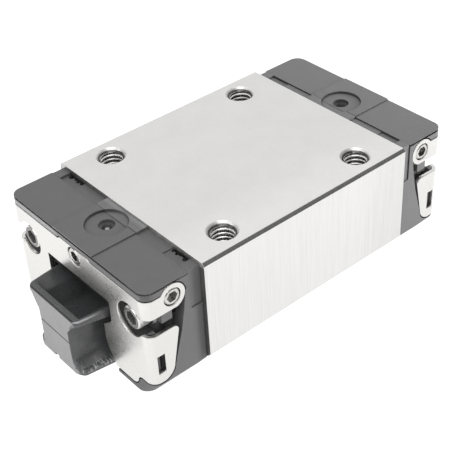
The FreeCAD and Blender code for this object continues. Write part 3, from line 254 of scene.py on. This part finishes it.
def moulded(name, dark, light, rough, grain_size, grain_depth, cloud=450.0):
    """Moulded plastic: a fine spark-eroded grain and a faint cloudy change of shade."""
    f = Finish(name)
    clouds = f.noise((cloud, cloud, cloud), 3.0, 0.55)
    grain = f.noise((grain_size, grain_size, grain_size), 2.0, 0.6)
    pits = f.cells((grain_size * 0.6,) * 3, 0.6)
    both = f.math("ADD", f.math("MULTIPLY", clouds, 0.6), f.math("MULTIPLY", grain, 0.4))
    f.colour(f.ramp(both, (0.32, dark), (0.68, light)))
    f.roughness(f.span(both, 0.3, 0.7, rough[0], rough[1]))
    low = f.bump(pits, 0.25, grain_depth)
    f.normal(f.bump(grain, 0.35, grain_depth, low))
    return f


def port_axis(f):
    """Distance from the axis of the nearer top port."""
    x, y = f.math("SUBTRACT", f.away(0), 0.0232), f.away(1)
    return f.math("SQRT", f.math("ADD", f.times(x, x), f.times(y, y)))


def port_shade(f):
    """Painted shade along the wall of the top port's ring and in the seam that crosses it."""
    y = f.at()[1]
    top = f.span(f.away(2), 0.0186, 0.0188, 0.0, 1.0)
    wall = f.times(f.span(port_axis(f), 0.0034, 0.0036, 1.0, 0.0), f.span(port_axis(f), 0.0013, 0.0016, 0.0, 1.0), top)
    ring = f.times(wall, f.rest(f.crevice(0.0012, 0.30, 0.45, 0.97)))
    gap = f.span(f.math("ABSOLUTE", f.math("SUBTRACT", f.away(0), 0.0216)), 0.00006, 0.00018, 1.0, 0.0)
    seam = f.times(gap, top, f.span(f.away(1), 0.0047, 0.0048, 1.0, 0.0), f.span(y, 0.0008, 0.0018, 0.55, 0.22))
    return f.times(f.rest(ring), f.rest(seam))


def skirt_gap(f):
    """The gap under the return plate's side, where the painted seam shade is left out."""
    level = f.span(f.math("ABSOLUTE", f.math("SUBTRACT", f.away(2), 0.0130)), 0.00015, 0.00030, 1.0, 0.0)
    return f.times(level, f.span(f.away(1), 0.0146, 0.0150, 0.0, 1.0))


def cap_plastic():
    """End caps: painted shade in the seams and hollows of the top and deep in the ports' pits, a painted glint in the
    front port's pit, painted light on the rim band above the front plate.
    """
    f = moulded("cap_plastic", (0.087, 0.087, 0.088), (0.104, 0.104, 0.105), (0.50, 0.62), 7500.0, 0.00003)
    body = f.shader.inputs["Base Color"].links[0].from_socket
    x, y, z = f.at()
    front = f.span(x, -0.001, 0.001, 1.0, 0.0)
    top = f.span(f.away(2), 0.0170, 0.0176, 0.0, 1.0)
    pit = f.times(f.span(port_axis(f), 0.00126, 0.00132, 1.0, 0.0), top)
    corner = f.times(front, top, f.span(y, -0.0140, -0.0095, 1.0, 0.0))
    # painted shade lifted in the front port's pit, at the front corner and in the skirt gap
    shade_lifted = f.math("MAXIMUM", f.math("MAXIMUM", pit, corner), skirt_gap(f))
    # painted shade in the seams
    seams = f.times(f.rest(f.crevice(0.00035, 0.12)), f.rest(f.math("MULTIPLY", shade_lifted, 0.8)))
    # painted shade in the hollows of the top
    hollow_shade = f.times(top, f.rest(pit), f.rest(f.crevice(0.0016, 0.22, 0.20, 0.55)))
    # painted shade deep in the ports' pits, strongest in the front one
    deep = f.math("ADD", f.times(pit, front, f.span(z, 0.0178, 0.0189, 0.72, 0.18)),
                  f.times(pit, f.rest(front), f.span(z, 0.0178, 0.0189, 0.85, 0.50)))
    shade = f.dim(f.dim(body, f.times(f.rest(seams), f.rest(hollow_shade))), f.times(f.rest(deep), port_shade(f)))
    # painted light on the rim band: palest at the far corner, fading along the front
    rim = f.times(f.span(x, -0.02900, -0.02890, 1.0, 0.0), f.span(f.facing(0), 0.70, 0.90, 0.0, 1.0), f.span(z, 0.0177, 0.0178, 0.0, 1.0))
    along = f.math("ADD", f.span(y, -0.004, -0.001, 0.65, 1.35), f.span(y, 0.0035, 0.0050, 0.0, 1.25))
    height = f.times(f.span(z, 0.0179, 0.0184, 0.05, 1.0), f.span(z, 0.0186, 0.0190, 1.0, 0.5))
    # painted light: the groove lightened at the front corner and, less, in the skirt gap
    groove = f.times(f.math("MAXIMUM", corner, f.math("MULTIPLY", skirt_gap(f), 0.3)), f.rest(f.crevice(0.00035, 0.0)), 2.8)
    shade = f.dim(shade, f.math("ADD", f.math("ADD", f.times(rim, along, height), groove), 1.0))
    # painted highlight: a glint low in the front port's pit
    aside = f.math("SUBTRACT", f.math("MULTIPLY", f.math("ADD", x, 0.0232), 0.782), f.math("MULTIPLY", y, 0.624))
    glint = f.times(pit, front, f.span(f.math("ABSOLUTE", f.math("ADD", aside, 0.00006)), 0.00018, 0.00038, 1.0, 0.0),
                    f.span(z, 0.01815, 0.01832, 1.0, 0.0))
    glint_tone = f.ramp(f.noise((2500, 2500, 2500), 2.0), (0.3, (0.66, 0.66, 0.66)), (0.7, (0.74, 0.74, 0.74)))
    f.colour(f.blend(glint, shade, glint_tone))
    return f.mat


def return_plate_plastic():
    """Return plates: as the caps, with painted light along the middle of the front one's top strip."""
    f = moulded("return_plate_plastic", (0.092, 0.092, 0.093), (0.110, 0.110, 0.111), (0.48, 0.60), 7500.0, 0.00003)
    body = f.shader.inputs["Base Color"].links[0].from_socket
    middle = f.times(f.span(f.away(1), 0.0046, 0.0049, 1.0, 0.0), f.span(f.away(2), 0.0183, 0.0188, 0.0, 1.0),
                     f.span(f.at()[0], -0.001, 0.001, 1.0, 0.0))
    # painted light: a paler tone along the middle of the front top strip, more next to the steel
    pale = f.ramp(f.noise((600, 600, 600), 3.0, 0.55), (0.3, (0.112, 0.112, 0.113)), (0.7, (0.134, 0.134, 0.135)))
    lit = f.math("ADD", f.times(middle, f.span(f.away(0), 0.0198, 0.0208, 0.75, 0.0)), 1.0)
    # painted shade in the seams, left out in the skirt gap
    seams = f.rest(f.times(f.rest(f.crevice(0.00012, 0.30)), f.rest(skirt_gap(f))))
    f.colour(f.dim(f.blend(middle, body, pale), f.times(seams, port_shade(f), lit)))
    return f.mat


def retainer_plastic():
    return moulded("retainer_plastic", (0.040, 0.040, 0.043), (0.062, 0.062, 0.066), (0.4, 0.55), 6500.0, 0.00003).mat


def arbor_plastic():
    """Black moulding, satin on its sides; the cut end faces are dull and painted paler as painted light, the rounded
    rims above them painted dark as painted shade, painted highlights along the top edges next to them.
    """
    f = moulded("arbor_plastic", (0.066, 0.0675, 0.070), (0.086, 0.0875, 0.090), (0.22, 0.34), 5200.0, 0.000025, 320.0)
    body = f.shader.inputs["Base Color"].links[0].from_socket
    dull = f.shader.inputs["Roughness"].links[0].from_socket
    cut = f.span(f.facing(0), 0.90, 0.985, 0.0, 1.0)
    tone_noise = f.noise((1500, 4200, 900), 3.0, 0.6)
    # pale scuff strokes near both ends, partly painted highlights: bright along the outer edge of the foot, faint up
    # its sweep
    strokes = f.span(f.noise((4600, 900, 900), 3.0, 0.6, 0.4), 0.48, 0.62, 0.0, 1.0)
    rim = f.times(f.span(f.away(2), 0.0008, 0.0011, 0.0, 1.0), f.span(f.away(2), 0.0016, 0.0019, 1.0, 0.0),
                  f.span(f.away(1), 0.0048, 0.0053, 0.0, 0.85), f.rest(cut))
    sweep = f.times(f.span(f.away(2), 0.0014, 0.0018, 0.0, 1.0), f.span(f.away(2), 0.0021, 0.0027, 1.0, 0.0),
                    f.span(f.away(1), 0.0034, 0.0040, 0.0, 0.12))
    scuff_and_highlight = f.times(strokes, f.span(f.away(0), 0.0270, 0.0300, 0.0, 1.0), f.math("MAXIMUM", rim, sweep))
    # painted light: the end faces paler than the body
    pale = f.ramp(tone_noise, (0.3, (0.235, 0.233, 0.238)), (0.7, (0.285, 0.282, 0.288)))
    tilt, far, high = f.facing(0), f.away(0), f.away(2)
    # painted shade: the rounded rims above the end faces darkened
    brow = f.times(f.span(far, 0.0333, 0.0335, 0.0, 1.0), f.span(high, 0.0104, 0.0107, 0.0, 1.0),
                   f.span(tilt, 0.15, 0.35, 0.0, 1.0), f.span(tilt, 0.86, 0.93, 0.55, 0.0))
    outside = f.math("MAXIMUM", f.span(f.math("ADD", f.away(1), f.math("MULTIPLY", far, 0.12)), 0.00970, 0.00982, 0.0, 1.0),
                     f.span(far, 0.03296, 0.03304, 0.0, 1.0))
    # painted highlight along the top edges next to the end faces
    edge = f.times(outside, f.span(high, 0.01090, 0.01099, 0.0, 1.0), f.span(f.facing(1), 0.30, 0.60, 0.0, 1.0),
                   f.span(far, 0.0292, 0.0325, 0.0, 1.0))
    plain = f.dim(f.blend(cut, body, pale), f.rest(brow))
    mixed = f.blend(edge, plain, f.ramp(tone_noise, (0.3, (0.36, 0.36, 0.37)), (0.7, (0.48, 0.48, 0.49))))
    f.colour(f.blend(scuff_and_highlight, mixed, f.ramp(tone_noise, (0.3, (0.42, 0.42, 0.43)), (0.7, (0.66, 0.66, 0.67)))))
    f.roughness(f.math("ADD", dull, f.math("MULTIPLY", cut, 0.22)))
    f.set(IOR=1.55)
    return f.mat


def seal_rubber():
    f = moulded("seal_rubber", (0.008, 0.008, 0.008), (0.016, 0.016, 0.016), (0.62, 0.78), 5000.0, 0.00004)
    f.set(Specular_IOR_Level=0.3)
    return f.mat


def stainless_sheet():
    """Bright rolled sheet: faint rolling lines, mottled gloss."""
    f = Finish("stainless_sheet")
    mottle = f.noise((4200, 4200, 4200), 4.0, 0.7)
    roll = f.noise((700, 420, 9000), 2.0, 0.5)
    both = f.math("ADD", f.math("MULTIPLY", mottle, 0.8), f.math("MULTIPLY", roll, 0.2))
    f.colour(f.ramp(both, (0.30, (0.645, 0.640, 0.622)), (0.66, (0.705, 0.699, 0.681))))
    f.roughness(f.span(both, 0.3, 0.7, 0.25, 0.40))
    f.normal(f.bump(both, 0.18, 0.00004))
    f.set(Metallic=1.0)
    return f.mat


def screw_steel():
    """Plated screws: grey, with a mottled satin gloss."""
    f = Finish("screw_steel")
    mottle = f.noise((3200, 3200, 3200), 3.0, 0.6)
    f.colour(f.ramp(mottle, (0.3, (0.45, 0.44, 0.425)), (0.7, (0.66, 0.65, 0.63))))
    f.roughness(f.span(mottle, 0.3, 0.7, 0.14, 0.24))
    f.normal(f.bump(mottle, 0.12, 0.00003))
    f.set(Metallic=1.0)
    return f.mat


def cap_screw_steel():
    """Cap screws: a dull dark head face inside a bright turned crown, a socket painted dark as painted shade, grey
    sides.
    """
    f = Finish("cap_screw_steel")
    mottle = f.noise((3600, 3600, 3600), 3.0, 0.6)
    turned = f.ramp(mottle, (0.3, (0.62, 0.61, 0.59)), (0.7, (0.78, 0.77, 0.75)))
    face = f.ramp(mottle, (0.3, (0.15, 0.149, 0.146)), (0.7, (0.24, 0.237, 0.233)))
    x, y = f.math("SUBTRACT", f.away(1), 0.012275), f.math("SUBTRACT", f.away(2), 0.0132)
    socket = f.span(f.math("SQRT", f.math("ADD", f.times(x, x), f.times(y, y))), 0.00120, 0.00132, 1.0, 0.0)
    # painted shade: the socket darker
    dark = f.ramp(mottle, (0.3, (0.16, 0.159, 0.156)), (0.7, (0.28, 0.277, 0.272)))
    f.colour(f.blend(socket, f.blend(f.span(f.facing(0), 0.86, 0.97, 0.0, 1.0), turned, face), dark))
    f.roughness(f.span(mottle, 0.3, 0.7, 0.18, 0.32))
    f.normal(f.bump(mottle, 0.08, 0.00003))
    f.wire(f.blend_value(socket, f.span(f.facing(0), 0.45, 0.70, 0.30, 1.0), 0.5), f.shader.inputs["Metallic"])
    return f.mat


def felt():
    f = Finish("felt")
    fibre = f.noise((9000, 3000, 9000), 4.0, 0.7, 1.2)
    f.colour(f.ramp(fibre, (0.3, (0.52, 0.48, 0.38)), (0.7, (0.78, 0.75, 0.65))))
    f.roughness(f.span(fibre, 0.3, 0.7, 0.8, 0.95))
    f.normal(f.bump(fibre, 0.6, 0.0001))
    f.set(Sheen_Weight=0.3)
    return f.mat


FINISH = {
    "ground_steel": ground_steel(), "ball_steel": ball_steel(), "retainer_plastic": retainer_plastic(),
    "seal_rubber": seal_rubber(), "arbor_plastic": arbor_plastic(), "cap_plastic": cap_plastic(),
    "stainless_sheet": stainless_sheet(), "screw_steel": screw_steel(), "felt": felt(),
}
SLOT = {s["node"]: s["material_slot"] for s in frame["record"]["subparts"]}
OWN = {"cap_screws": cap_screw_steel(), "return_plate": return_plate_plastic()}

# Edge break of each kind of piece, in millimetres
BREAK = {"runner_body": 0.06, "end_cap": 0.03, "return_plate": 0.03, "cover_plate": 0.09, "mounting_arbor": 0.06,
         "end_seal": 0.08, "cap_screws": 0.06, "port_screw": 0.05, "side_port_screws": 0.05, "side_seal": 0.08,
         "ball_retainer": 0.06}


def soften(obj, width):
    """Breaks the sharp edges of a piece with a small rounded bevel."""
    weld = obj.modifiers.new("weld", "WELD")
    weld.merge_threshold = 0.000002
    flat = obj.modifiers.new("flat_faces", "DECIMATE")
    flat.decimate_type = "DISSOLVE"
    flat.angle_limit = math.radians(0.4)
    bevel = obj.modifiers.new("edge_break", "BEVEL")
    bevel.width = width
    bevel.segments = 2
    bevel.limit_method = "ANGLE"
    bevel.angle_limit = math.radians(32)
    bevel.use_clamp_overlap = False
    even = obj.modifiers.new("even_shade", "WEIGHTED_NORMAL")
    even.weight = 60
    even.keep_sharp = False


for name, obj in nodes.items():
    obj.data.materials.clear()
    obj.data.materials.append(next((m for kind, m in OWN.items() if name.endswith(kind)), FINISH[SLOT[name]]))
    for kind, width in BREAK.items():
        if name.endswith(kind) or name.startswith(kind):
            soften(obj, width * MM)


# ------------------------------------------------------------------ threads of the four top holes
def thread(name, x, y):
    """Tapped wall of a hole: a helical thread cut off by the countersink at the top, closed by a skin behind it."""
    wall, root, crest, pitch = 2.02, 1.97, 1.62, 0.7
    top, bottom, sink, face = 19.54, 13.85, 2.38, 19.9
    around = 72
    rows = int(round((top - bottom) / (pitch / 18)))

    def radius(z, turn):
        u = ((z - bottom) / pitch + turn) % 1.0
        if u < 0.22:
            r = crest
        elif u < 0.56:
            r = crest + (root - crest) * (u - 0.22) / 0.34
        elif u < 0.66:
            r = root
        else:
            r = root - (root - crest) * (u - 0.66) / 0.34
        return min(max(r, sink - (face - z)), wall)
    verts, faces = [], []
    for i in range(rows + 1):
        z = top + (bottom - top) * i / rows
        for k in range(around):
            a = 2 * math.pi * k / around
            r = wall if i == 0 else radius(z, k / around)
            verts.append(((x + r * math.cos(a)) * MM, (y + r * math.sin(a)) * MM, z * MM))
    for k in range(around):
        a = 2 * math.pi * k / around
        verts.append(((x + wall * math.cos(a)) * MM, (y + wall * math.sin(a)) * MM, bottom * MM))
    for i in range(rows + 1):
        for k in range(around):
            n = (k + 1) % around
            a, b = i * around + k, i * around + n
            faces.append((a, a + around, b + around, b))
    last = (rows + 1) * around
    for k in range(around):
        faces.append((last + k, k, (k + 1) % around, last + (k + 1) % around))
    mesh = bpy.data.meshes.new(name)
    mesh.from_pydata(verts, [], faces)
    mesh.validate()
    obj = bpy.data.objects.new(name, mesh)
    scene.collection.objects.link(obj)
    for poly in mesh.polygons:
        poly.use_smooth = True
        reach = sum(math.hypot(mesh.vertices[v].co.x - x * MM, mesh.vertices[v].co.y - y * MM) for v in poly.vertices)
        # faces near the root get the dark material as painted shade, the rest the bright one as painted highlight
        poly.material_index = 1 if reach / len(poly.vertices) > (crest + 0.45 * (root - crest)) * MM else 0
    return obj


# bright crests as painted highlights, dark roots as painted shade
CREST = thread_steel("thread_crest", (0.70, 0.695, 0.685), (0.82, 0.815, 0.805))
ROOT = thread_steel("thread_root", (0.10, 0.099, 0.097), (0.18, 0.178, 0.175))
for i, (sx, sy) in enumerate(((-1, -1), (1, -1), (1, 1), (-1, 1)), start=1):
    ridge = thread("hole_thread_%d" % i, 13.0 * sx, 13.0 * sy)
    ridge.data.materials.append(CREST)
    ridge.data.materials.append(ROOT)
    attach(ridge, "block")

# ------------------------------------------------------------------ floor, light, camera
floor_mesh = bpy.data.meshes.new("floor")
floor_mesh.from_pydata([(-30, -30, 0), (30, -30, 0), (30, 30, 0), (-30, 30, 0)], [], [(0, 1, 2, 3)])
floor = bpy.data.objects.new("floor", floor_mesh)
floor.location.z = -0.00002
scene.collection.objects.link(floor)
paper = Finish("pale_floor")
paper.colour(paper.ramp(paper.noise((60, 60, 60), 2.0), (0.3, (0.125, 0.125, 0.125)), (0.7, (0.145, 0.145, 0.145))))
paper.set(Roughness=0.9, Specular_IOR_Level=0.1, Emission_Color=(1.0, 1.0, 1.0, 1.0))
along = paper.add("ShaderNodeSeparateXYZ")
paper.wire(paper.place((1, 1, 1)), along.inputs[0])
# the floor glows as a light table, brighter on the left and dimmer on the right, lighting the block from below
left = paper.span(along.outputs[0], -0.050, -0.026, 1.19, 1.06)
paper.wire(paper.math("MULTIPLY", left, paper.span(along.outputs[0], 0.005, 0.050, 1.0, 0.94)), paper.shader.inputs["Emission Strength"])
floor_mesh.materials.append(paper.mat)

world = bpy.data.worlds.new("studio")
scene.world = world
world.use_nodes = True
tree = world.node_tree
back = next(n for n in tree.nodes if n.type == "BACKGROUND")
coord = tree.nodes.new("ShaderNodeTexCoord")
dot = tree.nodes.new("ShaderNodeVectorMath")
dot.operation = "DOT_PRODUCT"
dot.inputs[1].default_value = Vector((0.30, 0.45, 0.84)).normalized()
tree.links.new(coord.outputs["Generated"], dot.inputs[0])
shade = tree.nodes.new("ShaderNodeMapRange")
shade.interpolation_type = "SMOOTHSTEP"
for key, value in (("From Min", 0.38), ("From Max", 0.80), ("To Min", 0.22), ("To Max", 1.08)):
    shade.inputs[key].default_value = value
tree.links.new(dot.outputs["Value"], shade.inputs["Value"])
# a pale strip along the horizon, so that the floor has no visible end
split = tree.nodes.new("ShaderNodeSeparateXYZ")
tree.links.new(coord.outputs["Generated"], split.inputs[0])
level = tree.nodes.new("ShaderNodeMapRange")
level.interpolation_type = "SMOOTHSTEP"
for key, value in (("From Min", 0.015), ("From Max", 0.080), ("To Min", 1.06), ("To Max", 0.0)):
    level.inputs[key].default_value = value
tree.links.new(split.outputs[2], level.inputs["Value"])
both = tree.nodes.new("ShaderNodeMath")
both.operation = "MAXIMUM"
tree.links.new(shade.outputs["Result"], both.inputs[0])
tree.links.new(level.outputs["Result"], both.inputs[1])
tree.links.new(both.outputs[0], back.inputs["Strength"])
back.inputs["Color"].default_value = (1.0, 1.0, 1.0, 1.0)


def softbox(name, at, aim, size, power):
    data = bpy.data.lights.new(name, "AREA")
    data.shape = "SQUARE"
    data.size = size
    data.energy = power
    obj = bpy.data.objects.new(name, data)
    way = (Vector(aim) - Vector(at)).normalized()
    obj.matrix_world = Matrix.Translation(at) @ way.to_track_quat("-Z", "Y").to_matrix().to_4x4()
    obj.visible_camera = False
    scene.collection.objects.link(obj)
    return obj


softbox("key_left", (-0.30, 0.04, 0.12), (-0.03, 0.0, 0.005), 0.20, 0.25)
softbox("rear_right", (0.12, -0.10, 0.045), (0.027, -0.012, 0.012), 0.06, 0.43).visible_glossy = False
softbox("rear_top", (0.055, 0.02, 0.075), (0.027, 0.0, 0.02), 0.03, 0.021).visible_glossy = False
softbox("front_top", (-0.13, -0.13, 0.27), (0.0, 0.0, 0.012), 0.24, 0.30)
scene.view_settings.view_transform = "Standard"


def photo_camera():
    az, el, roll = math.radians(-38.59), math.radians(37.06), math.radians(-3.39)
    aim = Vector((-0.01197, -0.01236, 0.0199))
    out = Vector((math.sin(az) * math.cos(el), -math.cos(az) * math.cos(el), math.sin(el)))
    spot = aim + out * 0.1465
    right = (-out).cross(Vector((0, 0, 1))).normalized()
    up = right.cross(-out)
    r2 = right * math.cos(roll) + up * math.sin(roll)
    u2 = -right * math.sin(roll) + up * math.cos(roll)
    data = bpy.data.cameras.new("camera")
    data.sensor_width = 36.0
    data.sensor_fit = "HORIZONTAL"
    data.lens = 36.0 * 1068.7 / 450.0
    data.clip_start = 0.001
    data.clip_end = 100.0
    obj = bpy.data.objects.new("camera", data)
    obj.matrix_world = Matrix((
        (r2.x, u2.x, out.x, spot.x), (r2.y, u2.y, out.y, spot.y), (r2.z, u2.z, out.z, spot.z), (0, 0, 0, 1)))
    scene.collection.objects.link(obj)
    return obj


scene.camera = photo_camera()
